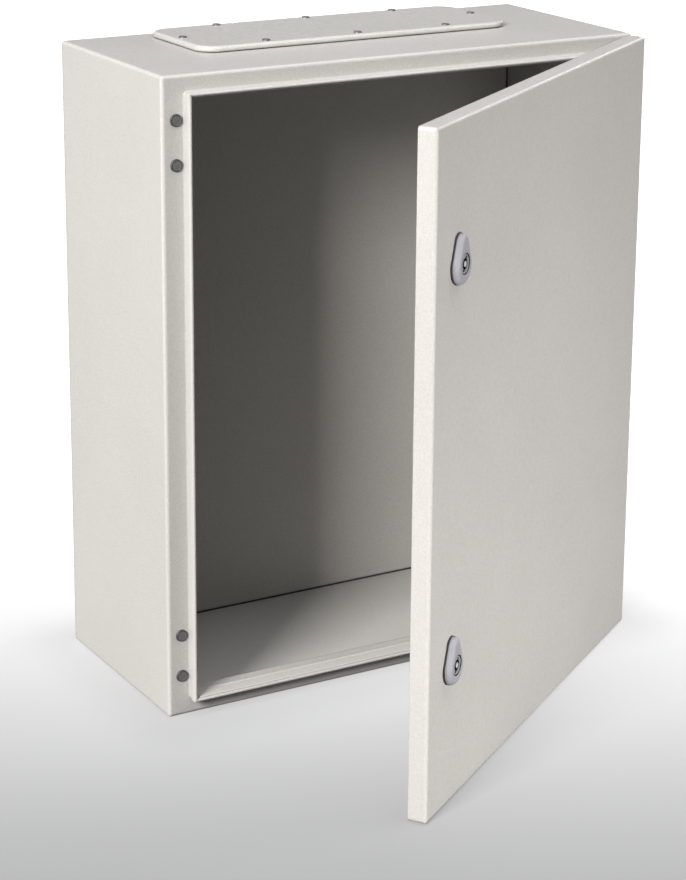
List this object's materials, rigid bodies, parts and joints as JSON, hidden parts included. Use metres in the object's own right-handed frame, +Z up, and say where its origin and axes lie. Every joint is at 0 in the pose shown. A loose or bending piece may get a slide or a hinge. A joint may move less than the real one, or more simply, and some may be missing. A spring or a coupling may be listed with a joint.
{
  "type": "electrical enclosure",
  "caption": "Wall-mounted sheet-steel electrical enclosure with a hinged door standing ajar, quarter-turn locks and a gland plate on the roof.",
  "frame": {"origin": "centre of the four wall holes on the outer face of the back panel", "axes": "+Z up, +Y into the wall, +X to the right as seen from the front"},
  "size_m": [0.5032, 0.5071, 0.6073],
  "materials": {
    "paint": "fine-textured light grey powder coat",
    "zinc_plate": "zinc-plated steel",
    "lock_metal": "satin die-cast metal",
    "seal_rubber": "matt black foam and rubber",
    "plug_plastic": "dark grey plastic"
  },
  "bodies": {
    "cabinet": {"wrapper": "paint", "back_panel": "paint", "back_sealant": "seal_rubber", "plate_studs": "zinc_plate", "gland_plate": "paint", "gland_gasket": "seal_rubber", "gland_screws": "zinc_plate", "gland_nuts": "zinc_plate", "hinge_hole_plugs": "plug_plastic", "upper_hinge_leaf": "zinc_plate", "lower_hinge_leaf": "zinc_plate", "hinge_washers": "zinc_plate", "hinge_nuts": "zinc_plate", "body_earth_stud": "zinc_plate", "body_earth_nut": "zinc_plate"},
    "door": {"door_panel": "paint", "door_gasket": "seal_rubber", "upper_hinge_ears": "zinc_plate", "lower_hinge_ears": "zinc_plate", "upper_hinge_pin": "zinc_plate", "lower_hinge_pin": "zinc_plate", "upper_lock_housing": "lock_metal", "lower_lock_housing": "lock_metal", "upper_lock_seal": "seal_rubber", "lower_lock_seal": "seal_rubber", "upper_lock_nut": "zinc_plate", "lower_lock_nut": "zinc_plate", "door_earth_stud": "zinc_plate", "door_earth_nut": "zinc_plate"},
    "upper_lock": {"upper_lock_insert": "lock_metal", "upper_lock_cam": "zinc_plate", "upper_cam_screw": "zinc_plate"},
    "lower_lock": {"lower_lock_insert": "lock_metal", "lower_lock_cam": "zinc_plate", "lower_cam_screw": "zinc_plate"}
  },
  "joints": [
    {"name": "door_swing", "type": "hinge", "parent": "cabinet", "child": "door", "pos_m": [0.244, -0.22, 0], "axis": [0, 0, 1], "range_deg": [-34.5, 80.5]},
    {"name": "upper_lock_turn", "type": "hinge", "parent": "door", "child": "upper_lock", "pos_m": [-0.11815, -0.48225, 0.18], "axis": [-0.5664, 0.8241, 0], "range_deg": [0, 90]},
    {"name": "lower_lock_turn", "type": "hinge", "parent": "door", "child": "lower_lock", "pos_m": [-0.11815, -0.48225, -0.17], "axis": [-0.5664, 0.8241, 0], "range_deg": [0, 90]}
  ]
}
